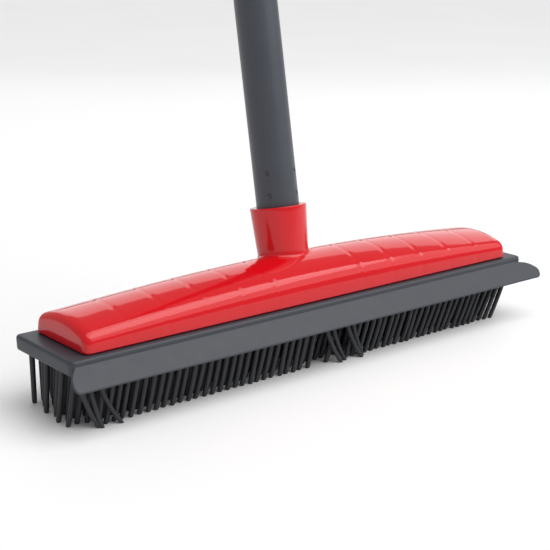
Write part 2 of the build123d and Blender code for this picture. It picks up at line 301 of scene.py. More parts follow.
def coated_surface(
    name, light, dark, patch_mm, roughness, ior, grain_mm, grain_depth_mm, extra=()
):
    """Two close colours mixed by slow noise, with uneven gloss and a fine bump.

    A noise texture's scale is one over the size of its pattern.
    """
    material = bpy.data.materials.new(name)
    material.use_nodes = True
    tree = material.node_tree
    tree.nodes.clear()
    place = add_node(tree, "ShaderNodeTexCoord").outputs["Object"]
    patches = add_node(
        tree, "ShaderNodeTexNoise",
        {"Scale": 1 / (patch_mm * MM), "Detail": PATCH_DETAIL}, {"Vector": place},
    ).outputs["Fac"]
    colour = add_node(
        tree, "ShaderNodeMix", {MIX_A: linear(dark), MIX_B: linear(light)}, {"Factor": patches},
        data_type="RGBA",
    )
    gloss = add_node(
        tree, "ShaderNodeMapRange",
        {"To Min": roughness * (1 - GLOSS_SPREAD), "To Max": roughness * (1 + GLOSS_SPREAD)},
        {"Value": patches},
    )
    grain = add_node(
        tree, "ShaderNodeTexNoise",
        {"Scale": 1 / (grain_mm * MM), "Detail": GRAIN_DETAIL}, {"Vector": place},
    )
    bump = add_node(
        tree, "ShaderNodeBump", {"Distance": grain_depth_mm * MM}, {"Height": grain.outputs["Fac"]}
    )
    shader = add_node(
        tree, "ShaderNodeBsdfPrincipled", {"IOR": ior, **dict(extra)},
        {
            "Base Color": colour.outputs[MIX_RESULT],
            "Roughness": gloss.outputs["Result"],
            "Normal": bump.outputs["Normal"],
        },
    )
    add_node(tree, "ShaderNodeOutputMaterial", links={"Surface": shader.outputs["BSDF"]})
    return material, tree, place, bump


# Gloss from a polished mould: sharp, bright reflections over a deep red. The slow ripple of
# the mould makes them waver.
red_plastic, red_tree, red_place, red_bump = coated_surface(
    "gloss_polypropylene_red", "#D80A18", "#CE0815", 30, 0.09, 1.49, 9, 0.03,
)
# Plastic shrinks as it sets, and most over the ribs inside. Each rib shows as a shallow dip with
# soft sides, which breaks the dome's long highlight.
FIRST_RIB, RIB_PITCH, SINK_HALF_WIDTH, SINK_DEPTH = 32, 24, 3, 0.12
from_middle = add_node(
    red_tree, "ShaderNodeMath", {}, {0: add_node(
        red_tree, "ShaderNodeSeparateXYZ", {}, {"Vector": red_place}).outputs["X"]},
    operation="ABSOLUTE",
).outputs[0]
past_rib = add_node(
    red_tree, "ShaderNodeMath", {1: (FIRST_RIB - RIB_PITCH) * MM}, {0: from_middle},
    operation="SUBTRACT",
).outputs[0]
from_rib = add_node(
    red_tree, "ShaderNodeMath", {1: RIB_PITCH / 2 * MM}, {0: past_rib}, operation="PINGPONG"
).outputs[0]
dip = add_node(
    red_tree, "ShaderNodeMapRange", {"From Max": SINK_HALF_WIDTH * MM}, {"Value": from_rib},
    interpolation_type="SMOOTHSTEP",
).outputs["Result"]
no_rib = add_node(
    red_tree, "ShaderNodeMath", {1: (FIRST_RIB - RIB_PITCH / 2) * MM}, {0: from_middle},
    operation="LESS_THAN",
).outputs[0]
level = add_node(
    red_tree, "ShaderNodeMath", {}, {0: dip, 1: no_rib}, operation="MAXIMUM"
).outputs[0]
sink = add_node(red_tree, "ShaderNodeBump", {"Distance": SINK_DEPTH * MM}, {"Height": level})
red_tree.links.new(sink.outputs["Normal"], red_bump.inputs["Normal"])

# Rubber from a blasted mould: a dull grey that shows light as a soft, broad sheen.
pad_rubber, *_ = coated_surface(
    "moulded_thermoplastic_rubber", "#363A42", "#31353C", 6, 0.5, 1.5, 0.6, 0.02,
)
# The same rubber in thin pins, a little duller. Its colour is darker than the pad's as painted
# shade, so the gaps between the pins look almost black.
bristle_rubber_painted_shade, *_ = coated_surface(
    "bristle_rubber_with_painted_shade", "#303136", "#292A2E", 4, 0.55, 1.5, 0.5, 0.015,
)
# Satin paint baked on steel: the light runs down the tube as one soft stripe.
tube_paint, *_ = coated_surface(
    "powder_coated_steel_grey", "#454951", "#40444C", 20, 0.36, 1.5, 0.5, 0.01,
)
# The mould's spark texture scatters light, so the black looks soft and shows no reflections.
pole_plastic, *_ = coated_surface(
    "spark_textured_polypropylene_black", "#2E3033", "#26282A", 5, 0.5, 1.49, 0.4, 0.02,
)
# Almost no shine, so rings and flutes show by their shade alone.
grip_rubber, *_ = coated_surface(
    "soft_grip_rubber_grey", "#3E4045", "#34363A", 5, 0.65, 1.5, 0.5, 0.02,
)
# Undyed nylon: a waxy off-white with a wide, mild highlight.
natural_nylon, *_ = coated_surface(
    "natural_nylon", "#D9D5C8", "#CFCABB", 8, 0.45, 1.53, 0.8, 0.02,
)
# Bare plated metal: a cool glint, and dark where nothing bright is mirrored.
zinc_plate, *_ = coated_surface(
    "zinc_plated_steel", "#C9CCCF", "#B9BCC0", 3, 0.3, 1.5, 0.3, 0.005, {"Metallic": 1.0},
)
print("materials", [m.name for m in bpy.data.materials])

# %% [markdown]
# ## The pad's tray
#
# The tray is a shallow rubber box that is pulled over the edge of a flat carrier plate, so its top
# rim laps inwards. Its cross-section goes round: down the middle of the floor, out, up the wall,
# in over the rim, and back inside. Each point of that section is a ring of its own inset.

# %% The pad's tray
PAD_HALF_LENGTH, PAD_HALF_WIDTH = PAD_HIGH[0], PAD_HIGH[1]
PAD_CORNER_R = 3.5
RIM_LAP, RIM_THICKNESS, WALL, FLOOR = 12.0, 1.8, 3.0, 2.7
WALL_DRAFT, FIELD_GAP = 0.35, 0.05
FIELD_INSET = PAD_HALF_LENGTH - FIELD_HIGH[0] - FIELD_GAP
FIELD_TOP = FIELD_HIGH[2]


def stacked_rings(section, half_length, half_width, radius):
    """One ring for each (inset, height) of the section: the outline shrunk by the inset."""
    return np.stack([
        lifted(rounded_ring(half_length - inset, half_width - inset, radius - inset), height)
        for inset, height in section
    ])


tray_section = soften(
    [
        (PAD_HALF_WIDTH, FIELD_TOP), (FIELD_INSET, FIELD_TOP), (FIELD_INSET, PAD_BOTTOM),
        (WALL_DRAFT, PAD_BOTTOM), (0, PAD_TOP), (RIM_LAP, PAD_TOP),
        (RIM_LAP, PAD_TOP - RIM_THICKNESS), (WALL, PAD_TOP - RIM_THICKNESS),
        (WALL, PAD_BOTTOM + FLOOR),
        (PAD_HALF_WIDTH, PAD_BOTTOM + FLOOR),
    ],
    [0.1, 0.1, 1.4, 2.2, 0.8, 0.2, 0.3, 0.3],
    steps=5,
)
tray_rings = stacked_rings(tray_section, PAD_HALF_LENGTH, PAD_HALF_WIDTH, PAD_CORNER_R)
make_piece(
    "pad_tray", tray_rings, grid_faces(*tray_rings.shape[:2]), "head", pad_rubber, "pad_rubber",
    ["rubber_pad"],
)

# %% [markdown]
# ## The wiping lip
#
# The lip is a soft blade moulded on the front of the tray. It slopes forwards and down and gets
# thinner towards its edge, and its ends run out past the ends of the tray in round corners. Its
# outline is drawn flat, in its own slope, as a polygon with softened corners. The surface is then
# a band that runs from end to end, goes round the blade's section, and thins to nothing at both
# ends and along the edge.

# %% The wiping lip
LIP_REACH, LIP_DROP, LIP_ROOT_DEPTH = 9.5, 9.25, 4.25
LIP_LAP, LIP_SPAN, LIP_ROUND, LIP_HALF_THICK = 1.5, 340, 0.8, (0.9, 0.7)
WAVE_HEIGHT, WAVE_STRETCH, WAVE_START = 0.25, 24, 0.7
LIP_DEPTH = math.hypot(LIP_REACH, LIP_DROP)
LIP_ROOT = np.array([0.0, -PAD_HALF_WIDTH, PAD_TOP - LIP_ROOT_DEPTH])
DOWN_LIP = np.array([0.0, -LIP_REACH, -LIP_DROP]) / LIP_DEPTH
OFF_LIP = np.array([0.0, -LIP_DROP, LIP_REACH]) / LIP_DEPTH

# Each end of the outline, as (along the head, down the slope) from the upper edge to the lower.
left_end = soften(
    [(-163.5, -LIP_LAP), (-168.5, 5), (-168.5, LIP_DEPTH), (0, LIP_DEPTH)], [4.0, 8.0], steps=20
)[:-1]
right_end = soften(
    [(158, -LIP_LAP), (170.5, 1.5), (177, 7.5), (174, LIP_DEPTH), (0, LIP_DEPTH)],
    [4.5, 3.6, 2.6], steps=20,
)[:-1]


def lip_surface():
    """Rows along the lip, columns down its front and back up its rear.

    Half the thickness is that of the blade at each depth, times the root of one less the square
    of how near the point is to an end or to the edge, over the last 0.8 mm.
    """
    down = -LIP_LAP + (LIP_DEPTH + LIP_LAP) * np.sin(np.linspace(0, math.pi / 2, 30))
    start = np.interp(down, left_end[:, 1], left_end[:, 0])
    end = np.interp(down, right_end[:, 1], right_end[:, 0])
    near = np.array([0, 0.05, 0.15, 0.35, 0.6, LIP_ROUND]) / LIP_SPAN
    first = 2 * LIP_ROUND / LIP_SPAN
    share = np.concatenate([near, np.linspace(first, 1 - first, 300), 1 - near[::-1]])
    along = start + (end - start) * share[:, None]
    room = np.minimum(np.minimum(share, 1 - share)[:, None] * LIP_SPAN, LIP_DEPTH - down)
    thin = np.sqrt(1 - (1 - np.clip(room / LIP_ROUND, 0, 1)) ** 2)
    half_thick = thin * np.interp(down, [0, LIP_DEPTH], LIP_HALF_THICK)
    swing = np.clip(down / LIP_DEPTH, 0, 1) ** 2
    wave = WAVE_HEIGHT * np.sin(along / WAVE_STRETCH + WAVE_START) * swing
    down = np.broadcast_to(down, along.shape)
    front = np.stack([along, down, wave + half_thick], -1)
    rear = np.stack([along, down, wave - half_thick], -1)
    return np.concatenate([front, rear[:, ::-1]], axis=1)


sheet = lip_surface()
lip_points = (
    LIP_ROOT + sheet[..., :1] * ACROSS + sheet[..., 1:2] * DOWN_LIP + sheet[..., 2:] * OFF_LIP
)
make_piece(
    "wiping_blade", lip_points, grid_faces(*lip_points.shape[:2]), "head", pad_rubber,
    "pad_rubber", ["wiping_lip"],
)

# %% [markdown]
# ## The bristles
#
# 431 soft pins stand in seven rows, each pin between two of the next row. Moulding leaves them
# slightly conical. Use has set them: they lean along the head, more at one end than the other,
# and a few have been bent out of line. One pin has only a few dozen faces, because there are so
# many, and all of them are worked out together as one array of pin, ring and corner.

# %% Where the bristles stand and how they lean
BRISTLE_ROWS, ROW_PITCH, PIN_PITCH, PINS_LONG_ROW = 7, 8.0, 5.2, 62
# Degrees of lean at these places along the head, for the first and the last row.
LEAN_PLACES, FRONT_LEAN, REAR_LEAN = (-160, 0, 160), (12, 15, 27), (-1, 8, 20)
LEAN_SPREAD, LEAN_OUT_SPREAD = 0.6, 0.8
BEND, BEND_SPREAD, LEAST_BEND, MOST_BEND = 1.25, 0.1, 1, 1.6
chance = np.random.default_rng(7)

row = np.repeat(np.arange(BRISTLE_ROWS), PINS_LONG_ROW)
place_in_row = np.tile(np.arange(PINS_LONG_ROW), BRISTLE_ROWS)
keep = place_in_row < PINS_LONG_ROW - row % 2
row, place_in_row = row[keep], place_in_row[keep]
pin_x = (place_in_row - (PINS_LONG_ROW - row % 2 - 1) / 2) * PIN_PITCH
pin_y = (row - (BRISTLE_ROWS - 1) / 2) * ROW_PITCH

front_lean = np.interp(pin_x, LEAN_PLACES, FRONT_LEAN)
rear_lean = np.interp(pin_x, LEAN_PLACES, REAR_LEAN)
lean = np.radians(
    front_lean + (rear_lean - front_lean) * row / (BRISTLE_ROWS - 1)
    + chance.normal(0, LEAN_SPREAD, len(row))
)
lean_out = np.radians(chance.normal(0, LEAN_OUT_SPREAD, len(row)))
bend = chance.normal(BEND, BEND_SPREAD, len(row)).clip(LEAST_BEND, MOST_BEND)
# Pins of the front row that have taken a bend of their own: place in the row, and how far the
# tip is moved along and forward over the pin's height.
STRAYS = ((0, 9, 3), (1, 5, 4), (2, 11, 4.5), (31, 9, 5), (32, 8, 3.5), (34, 9, 5.5), (35, 6, 3.5))
STRAY_HEIGHT, STRAY_BEND = 30.7, 1.9
for place, along, forward in STRAYS:
    bent = np.flatnonzero((row == 0) & (place_in_row == place))[0]
    lean[bent] = -math.atan(along / STRAY_HEIGHT)
    lean_out[bent] = -math.atan(forward / STRAY_HEIGHT)
    bend[bent] = STRAY_BEND
print(len(row), "bristles, leaning", np.degrees(lean).min().round(), "to",
      np.degrees(lean).max().round(), "degrees")

# %% [markdown]
# Each pin bends more towards its tip, as a power of the way down. Its root is sunk a little into
# the web, and its tip is rounded off on the floor.

# %% The bristles' surface
FIELD_HALF_WIDTH = FIELD_HIGH[1]
PIN_SIDES, PIN_SUNK, OUT_BEND = 8, 0.4, 1.5
PIN_DOWN = np.array([0, 0, 0.05, 0.25, 0.5, 0.75, 0.97, 1.0, 1.0])
PIN_RADIUS = np.array([0, 2.0, 1.62, 1.56, 1.52, 1.47, 1.42, 1.1, 0])


def bristle_points():
    """Rings round each pin's bent centre line, from its root to its tip on the floor.

    A point at share t of the pin's height is moved by the lean's tangent times t to the bend.
    """
    t = PIN_DOWN[None, :]
    height = PAD_BOTTOM + PIN_SUNK
    drift = height * np.stack(
        [-np.tan(lean)[:, None] * t ** bend[:, None], np.tan(lean_out)[:, None] * t**OUT_BEND], -1
    )
    centre = np.stack([
        pin_x[:, None] + drift[..., 0], pin_y[:, None] + drift[..., 1],
        np.broadcast_to(height * (1 - t), drift.shape[:2]),
    ], -1)
    turn = np.arange(PIN_SIDES) / PIN_SIDES * math.tau
    ring = np.stack([np.cos(turn), np.sin(turn), 0 * turn], -1)
    return centre[:, :, None] + PIN_RADIUS[None, :, None, None] * ring


pins = bristle_points()
pin_faces = grid_faces(len(PIN_DOWN), PIN_SIDES) + (
    np.arange(len(pins)) * len(PIN_DOWN) * PIN_SIDES
)[:, None, None]
web_section = soften(
    [(FIELD_HALF_WIDTH, FIELD_TOP), (0, FIELD_TOP), (0, PAD_BOTTOM),
     (FIELD_HALF_WIDTH, PAD_BOTTOM)],
    0.1,
)
web = stacked_rings(web_section, FIELD_HIGH[0], FIELD_HALF_WIDTH, 0.5)
make_piece(
    "bristles", *joined((pins, pin_faces), (web, grid_faces(*web.shape[:2]))), "head",
    bristle_rubber_painted_shade, "pad_rubber", ["bristle_field"],
)

# %% [markdown]
# ## The red shell
#
# The shell is a long dome with rounded shoulders, and the socket rises out of it as a cone that
# widens upwards. A small fillet fills the corner where they meet, a little larger along the head
# than at the front and rear. Such a blend is awkward to build from separate surfaces, and easy to
# write as a distance: each shape says how far a point is outside it, and a rounded union joins the
# two. The grid is then laid roughly in place and pulled onto the surface where that distance is
# zero.

# %% The shell's distance
SHELL_HALF_LENGTH, SHELL_HALF_WIDTH = SHELL_HIGH[0], -SHELL_LOW[1]
SHELL_CORNER_R, SHELL_EDGE_R, SHELL_WALL = 4.0, 4.0, 2.2
DRAFT = math.tan(math.radians(4))
SIDE_END, SIDE_MIDDLE, CROWN_END, CROWN_MIDDLE = 9.4, 13.0, 14.4, 22.3
SOCKET_FOOT, SOCKET_TOP, SOCKET_FOOT_R, SOCKET_TOP_R = 12.0, 49.0, 14.4, 16.6
SOCKET_SLOPE = (SOCKET_TOP_R - SOCKET_FOOT_R) / (SOCKET_TOP - SOCKET_FOOT)
FILLET_R, FILLET_ALONG = 1.6, 1.2


def parabola(end, middle, x):
    """From the middle's height down to the ends' as the square of the distance."""
    return middle - (middle - end) * (x / SHELL_HALF_LENGTH) ** 2


def dome(x, y):
    """Height of the arched top over the pad, and the cosine of its slope across.

    The arch is a circle through the tops of both side walls and the crown.
    """
    side, crown = parabola(SIDE_END, SIDE_MIDDLE, x), parabola(CROWN_END, CROWN_MIDDLE, x)
    half = SHELL_HALF_WIDTH - side * DRAFT
    arch = (half**2 + (crown - side) ** 2) / (2 * (crown - side))
    rest = np.sqrt(np.maximum(arch**2 - y**2, 1))
    return crown - arch + rest, rest / arch


def cone_radius(along):
    """The socket's radius, which grows evenly with the length along the pole."""
    return SOCKET_FOOT_R + SOCKET_SLOPE * (along - SOCKET_FOOT)


def shell_distance(points):
    """Rounded intersection of dome and walls, then rounded union with the socket's cone.

    For distances a and b and a radius r, the intersection is the length of (r + a, r + b), kept
    above zero, less r. The union is r less the length of (r - a, r - b).
    """
    x, y, z = points[..., 0], points[..., 1], points[..., 2] - PAD_TOP
    height, cosine = dome(x, y)
    top = (z - height) * cosine
    out_x = np.abs(x) - (SHELL_HALF_LENGTH - DRAFT * z) + SHELL_CORNER_R
    out_y = np.abs(y) - (SHELL_HALF_WIDTH - DRAFT * z) + SHELL_CORNER_R
    wall = (
        np.hypot(np.maximum(out_x, 0), np.maximum(out_y, 0))
        + np.minimum(np.maximum(out_x, out_y), 0) - SHELL_CORNER_R
    )
    r = SHELL_EDGE_R
    body = np.minimum(-r, np.maximum(top, wall)) + np.hypot(
        np.maximum(r + top, 0), np.maximum(r + wall, 0)
    )
    from_foot = points - POLE_FOOT
    along = from_foot @ AXIS
    radial = from_foot - along[..., None] * AXIS
    away = np.linalg.norm(radial, axis=-1)
    cone = away - cone_radius(along)
    r = FILLET_R + FILLET_ALONG * (radial[..., 0] / np.maximum(away, 1)) ** 2
    return np.maximum(r, np.minimum(body, cone)) - np.hypot(
        np.maximum(r - body, 0), np.maximum(r - cone, 0)
    )


def pull_onto_shell(points, rounds=25):
    """Newton's method along the distance's slope, which is measured over a hundredth of a mm.

    A weak slope is taken as larger, and no point moves more than 2 mm at once.
    """
    step, weakest_square, longest_move = 0.01, 0.2, 2
    for _ in range(rounds):
        value = shell_distance(points)
        slope = np.stack([
            shell_distance(points + step * axis) - shell_distance(points - step * axis)
            for axis in np.eye(3)
        ], -1) / (2 * step)
        move = value[..., None] * slope / np.maximum(
            (slope**2).sum(-1, keepdims=True), weakest_square
        )
        size = np.linalg.norm(move, axis=-1, keepdims=True)
        points = points - move * np.minimum(1, longest_move / np.maximum(size, 1e-9))
    print("furthest from the surface", np.abs(shell_distance(points)).max().round(5), "mm")
    return points


print("dome over the middle", [round(float(v), 2) for v in dome(0.0, 0.0)])

# %% [markdown]
# The grid's columns run from the socket's rim down the cone, over the dome, round the shoulder and
# down the wall. Each column ends at its own point of the shell's outline and starts at its own
# place round the socket. Rows are closer together near the socket, where the surface turns most.

# %% The shell's outside
outline = rounded_ring(SHELL_HALF_LENGTH, SHELL_HALF_WIDTH, SHELL_CORNER_R)
AROUND = np.arctan2(outline[:, 1] / SHELL_HALF_WIDTH, outline[:, 0] / SHELL_HALF_LENGTH)


def pole_ring(along, radius, turn=AROUND):
    """Points round the pole's axis at a length along it: cosine across, sine behind."""
    along, radius = np.asarray(along)[..., None], np.asarray(radius)[..., None]
    spoke = np.cos(turn)[:, None] * ACROSS + np.sin(turn)[:, None] * BEHIND
    return POLE_FOOT + along * AXIS + radius * spoke


def outline_at(height, inset=0.0):
    """The wall's outline at a height over the pad, with the draft taken off."""
    inset = inset + DRAFT * np.mean(height)
    return rounded_ring(
        SHELL_HALF_LENGTH - inset, SHELL_HALF_WIDTH - inset, SHELL_CORNER_R - inset
    )


def above_dome(points):
    """How far points are above the arched top, straight up."""
    return points[:, 2] - PAD_TOP - dome(points[:, 0], points[:, 1])[0]


# Where a search along the pole starts, and how many rounds it needs to settle.
FIRST_ALONG, FIRST_WELL_ALONG, SETTLING = 20.0, 12.0, 12
# How far over the dome the cone's grid ends, and how far under the rim it starts.
FOOT_RISE, RIM_BAND = 1.2, 0.6
CONE_ROWS, DOME_ROWS, SHOULDER_ROWS, WALL_ROWS = 14, 72, 10, 6
SHOULDER_LEVEL, SHOULDER_INSET, WALL_TOP_LEVEL, SHOULDER_DROP = 12, 3.0, 8, 4.5
WALL_FOOT_LEVEL, SEAM_TOP = 0.4, 1.1
ROW_CROWDING, HUMP_FADE = 1.7, 6

foot_along = np.full(len(AROUND), FIRST_ALONG)
for _ in range(SETTLING):
    start = pole_ring(foot_along, cone_radius(foot_along))
    foot_along = foot_along - (above_dome(start) - (FOOT_RISE + np.cos(AROUND) ** 2))
cone_along = [
    SOCKET_TOP - RIM_BAND + (foot_along - SOCKET_TOP + RIM_BAND) * share
    for share in np.linspace(0, 1, CONE_ROWS)
]
cone_rows = np.stack([pole_ring(along, cone_radius(along)) for along in cone_along])

shoulder = outline_at(SHOULDER_LEVEL, SHOULDER_INSET)
shoulder = lifted(shoulder, PAD_TOP + dome(shoulder[:, 0], shoulder[:, 1])[0])
share = (np.linspace(0, 1, DOME_ROWS) ** ROW_CROWDING)[1:, None, None]
dome_rows = cone_rows[-1] + (shoulder - cone_rows[-1]) * share
hump = above_dome(start)[None, :] * (1 - share[..., 0]) ** HUMP_FADE
dome_rows[..., 2] = PAD_TOP + dome(dome_rows[..., 0], dome_rows[..., 1])[0] + hump

corner_ring = lifted(outline_at(SHOULDER_LEVEL), shoulder[:, 2])
wall_top = lifted(outline_at(WALL_TOP_LEVEL), shoulder[:, 2] - SHOULDER_DROP)
t = np.linspace(0, 1, SHOULDER_ROWS)[1:, None, None]
shoulder_rows = (1 - t) ** 2 * shoulder + 2 * t * (1 - t) * corner_ring + t**2 * wall_top
wall_foot = lifted(outline_at(WALL_FOOT_LEVEL), PAD_TOP + SEAM_TOP)
wall_rows = wall_top + (wall_foot - wall_top) * np.linspace(0, 1, WALL_ROWS)[1:, None, None]
outside = pull_onto_shell(np.concatenate([cone_rows[1:], dome_rows, shoulder_rows, wall_rows]))
print("outside grid", outside.shape)

# %% [markdown]
# Inside, the shell is hollow, with a well for the pole's thread. None of that can be seen, so the
# inner side is plain rings: up the inner wall, along the ceiling to the well, and down to its foot.
# A narrow groove under the wall's foot leaves the dark line where shell and pad meet.

# %% The whole shell
WELL_FOOT, BORE_FOOT, SEAT, BORE_R, THREAD_BORE_R = 2.0, 6.7, 26.7, 12.6, 9.6
CEILING_DROP, WELL_GAP, WELL_WALL_GAP, CEILING_ROWS = 3, 0.3, 1.6, 12
INNER_LEVEL, RIM_CHAMFER, RIM_CHAMFER_R = 10, 1.5, 0.09
# The seam groove's section, as (inset, height over the pad), from the wall's foot inwards.
SEAM = ((0.1, 0.85), (0.4, 0.6), (1.2, 0.5), (1.3, 0), (SHELL_WALL - 0.2, 0), (SHELL_WALL, 0.3))

bore = soften(
    [(BORE_FOOT, 0), (BORE_FOOT, THREAD_BORE_R), (SEAT, THREAD_BORE_R), (SEAT, BORE_R),
     (SOCKET_TOP, BORE_R), (SOCKET_TOP, SOCKET_TOP_R),
     (SOCKET_TOP - RIM_CHAMFER, SOCKET_TOP_R - RIM_CHAMFER_R)],
    [0.3, 0.3, 0.3, 0.5, 0.6],
)
bore_rows = np.stack([pole_ring(along, radius) for along, radius in bore[:-1]])

foot_rows = np.stack([lifted(outline_at(0, inset), PAD_TOP + height) for inset, height in SEAM])
inner_edge = outline_at(INNER_LEVEL, SHELL_WALL)
inner_top = lifted(
    inner_edge, PAD_TOP + dome(inner_edge[:, 0], inner_edge[:, 1])[0] - CEILING_DROP
)
well_along = np.full(len(AROUND), FIRST_WELL_ALONG)
for _ in range(SETTLING):
    well_top = pole_ring(well_along, SOCKET_FOOT_R)
    well_along = well_along - (above_dome(well_top) + SHELL_WALL + WELL_GAP)
well_top[:, 1] = np.minimum(well_top[:, 1], SHELL_HALF_WIDTH - SHELL_WALL - WELL_WALL_GAP)
share = np.linspace(0, 1, CEILING_ROWS)[1:, None, None]
ceiling_rows = inner_top + (well_top - inner_top) * share
ceiling_rows[..., 2] = (
    PAD_TOP + dome(ceiling_rows[..., 0], ceiling_rows[..., 1])[0] - CEILING_DROP
)
well_rows = np.stack([pole_ring(WELL_FOOT, SOCKET_FOOT_R), pole_ring(WELL_FOOT, 0.0)])
shell_rows = np.concatenate([
    bore_rows, outside, foot_rows, inner_top[None], ceiling_rows, well_rows
])
make_piece(
    "head_cover", shell_rows, grid_faces(*shell_rows.shape[:2]), "head", red_plastic, "shell_red",
    ["head_shell"],
)

# %% [markdown]
# ## Pieces turned round the pole
#
# Tubes, collars and grips are all turned shapes: a profile of lengths and radii, swept round the
# pole's axis. A hollow one has a closed profile. `swept` lets each point's radius be changed by a
# function of where it is. That is how flutes, grooves and dents are cut into a plain turned shape.

# %% Sweep a profile round the pole
# A point this close to a turned piece's outer radius is on its outer side.
SKIN = 0.01
PRESS_GAP, SLIDE_GAP = 0.02, 0.1


def swept(profile, sides, relief=None):
    """A grid of points round the axis: at angle u, the radius times (cosine across, sine behind).

    The relief takes lengths, angles and radii as arrays, and gives what to add to each radius.
    """
    turn = np.arange(sides) / sides * math.tau
    along, radius = (column[:, None] for column in np.asarray(profile, float).T)
    if relief is not None:
        radius = radius + relief(along, turn[None, :], radius)
    spoke = np.cos(turn)[:, None] * ACROSS + np.sin(turn)[:, None] * BEHIND
    return POLE_FOOT + along[..., None] * AXIS + (radius + 0 * turn)[..., None] * spoke


def divided(profile, longest):
    """Add points to a profile's straight runs, so that no step is longer than asked."""
    pieces = [
        np.linspace(a, b, max(2, math.ceil(np.linalg.norm(b - a) / longest) + 1))[:-1]
        for a, b in zip(profile[:-1], profile[1:])
    ]
    return np.concatenate(pieces + [profile[-1:]])


def round_band(from_along, to_along, outer, inner, radius=0.25):
    """The closed profile of a plain ring or tube, with softened corners."""
    middle = (from_along + to_along) / 2
    return soften(
        [(middle, inner), (from_along, inner), (from_along, outer), (to_along, outer),
         (to_along, inner), (middle, inner)],
        radius,
    )


# %% [markdown]
# ### The lower tube
#
# The tube is thin steel, painted after it was made. Four blows of a punch at each of two heights
# press its wall into the plastic plug inside, so the paint dips into eight small round dents, each
# with a slightly raised rim.

# %% The lower tube
TUBE_FOOT, TUBE_TOP, TUBE_R = span("lower_tube")
TUBE_WALL = 0.8
PUNCH_ROWS, PUNCH_START, PUNCH_R, PUNCH_DEPTH = (55.5, 68.5), 31.2, 1.45, 0.78
RIM_HEIGHT, RIM_PLACE, RIM_WIDTH = 0.09, 1.15, 0.35
FINE_HALF, FINE_STEPS = 3, 31


def punched(along, turn, radius):
    """Dents: the root of one less the distance to the fourth power, with a low raised rim."""
    around = (turn - math.radians(PUNCH_START) + math.pi / 4) % (math.pi / 2) - math.pi / 4
    height = np.min([np.abs(along - row) for row in PUNCH_ROWS], axis=0)
    away = np.hypot(height, around * TUBE_R)
    bowl = PUNCH_DEPTH * np.sqrt(np.clip(1 - (away / PUNCH_R) ** 4, 0, None))
    rim = RIM_HEIGHT * np.exp(-(((away - PUNCH_R * RIM_PLACE) / RIM_WIDTH) ** 2))
    return np.where(radius > TUBE_R - SKIN, rim - bowl, 0)


tube_profile = round_band(TUBE_FOOT, TUBE_TOP, TUBE_R, TUBE_R - TUBE_WALL)
near_punches = np.linspace(-FINE_HALF, FINE_HALF, FINE_STEPS) + np.array(PUNCH_ROWS)[:, None]
outer_run = np.stack([near_punches.ravel(), np.full(near_punches.size, TUBE_R)], -1)
past = tube_profile[:, 0] > PUNCH_ROWS[1] + FINE_HALF
split = np.flatnonzero((tube_profile[:, 1] > TUBE_R - SKIN) & past)[0]
tube_profile = np.insert(tube_profile, split, outer_run, axis=0)
tube_grid = swept(tube_profile[:-1], 256, punched)
tube_faces = grid_faces(*tube_grid.shape[:2], join_rows=True)
make_piece(
    "pole_lower", tube_grid, tube_faces, "lower_pole", tube_paint, "tube_paint", ["lower_tube"]
)

# %% [markdown]
# ### The guide collar and the upper tube
#
# The collar is pressed over the lower tube's top and guides the upper one. A hand grips it to work
# the twist lock, so its side has shallow flutes. They fade out before its ends.

# %% The guide collar and the upper tube
COLLAR_FOOT, COLLAR_TOP, COLLAR_R = span("guide_collar")
UPPER_FOOT, UPPER_TOP, UPPER_R = span("upper_tube")
FLUTES, FLUTE_DEPTH, PLAIN_END, FLUTE_FADE = 36, 0.3, 4, 2


def fluted(along, turn, radius):
    """36 flutes, as a raised cosine round the collar, on its outer side and away from its ends."""
    inside = np.clip((along - COLLAR_FOOT - PLAIN_END) / FLUTE_FADE, 0, 1) * np.clip(
        (COLLAR_TOP - PLAIN_END - along) / FLUTE_FADE, 0, 1
    )
    flutes = -FLUTE_DEPTH * inside * (0.5 + 0.5 * np.cos(FLUTES * turn))
    return np.where(radius > COLLAR_R - SKIN, flutes, 0)


collar_profile = soften(
    [(COLLAR_FOOT + 10, TUBE_R + PRESS_GAP), (COLLAR_FOOT, TUBE_R + PRESS_GAP),
     (COLLAR_FOOT, COLLAR_R), (COLLAR_TOP, COLLAR_R), (COLLAR_TOP, UPPER_R + SLIDE_GAP),
     (TUBE_TOP, UPPER_R + SLIDE_GAP), (TUBE_TOP, TUBE_R + PRESS_GAP),
     (COLLAR_FOOT + 10, TUBE_R + PRESS_GAP)],
    [0.3, 0.9, 1.2, 0.4, 0.2, 0.2],
)
collar_grid = swept(divided(collar_profile, 1.0)[:-1], 288, fluted)
make_piece(
    "pole_collar", collar_grid, grid_faces(*collar_grid.shape[:2], join_rows=True), "lower_pole",
    pole_plastic, "pole_plastic", ["guide_collar"],
)
upper_grid = swept(round_band(UPPER_FOOT, UPPER_TOP, UPPER_R, UPPER_R - TUBE_WALL)[:-1], 96)
make_piece(
    "pole_upper", upper_grid, grid_faces(*upper_grid.shape[:2], join_rows=True), "upper_pole",
    tube_paint, "tube_paint", ["upper_tube"],
)

# %% [markdown]
# ### The grip
#
# The grip is a soft rubber sleeve over a hard plastic core. Nine rings round it and fine flutes
# between them keep a wet hand from slipping.

# %% The grip and its core
GRIP_FOOT, GRIP_TOP, GRIP_R = span("hand_grip")
CORE_FOOT, CORE_TOP, CORE_R = span("grip_core")
CORE_SLEEVE_R, SLEEVE_GAP = 13.2, 0.05
RINGS, RING_GROOVE, RING_DEPTH = 9, 3.0, 0.9
GRIP_FLUTES, GRIP_FLUTE_DEPTH, BAND_FADE = 60, 0.12, 0.8


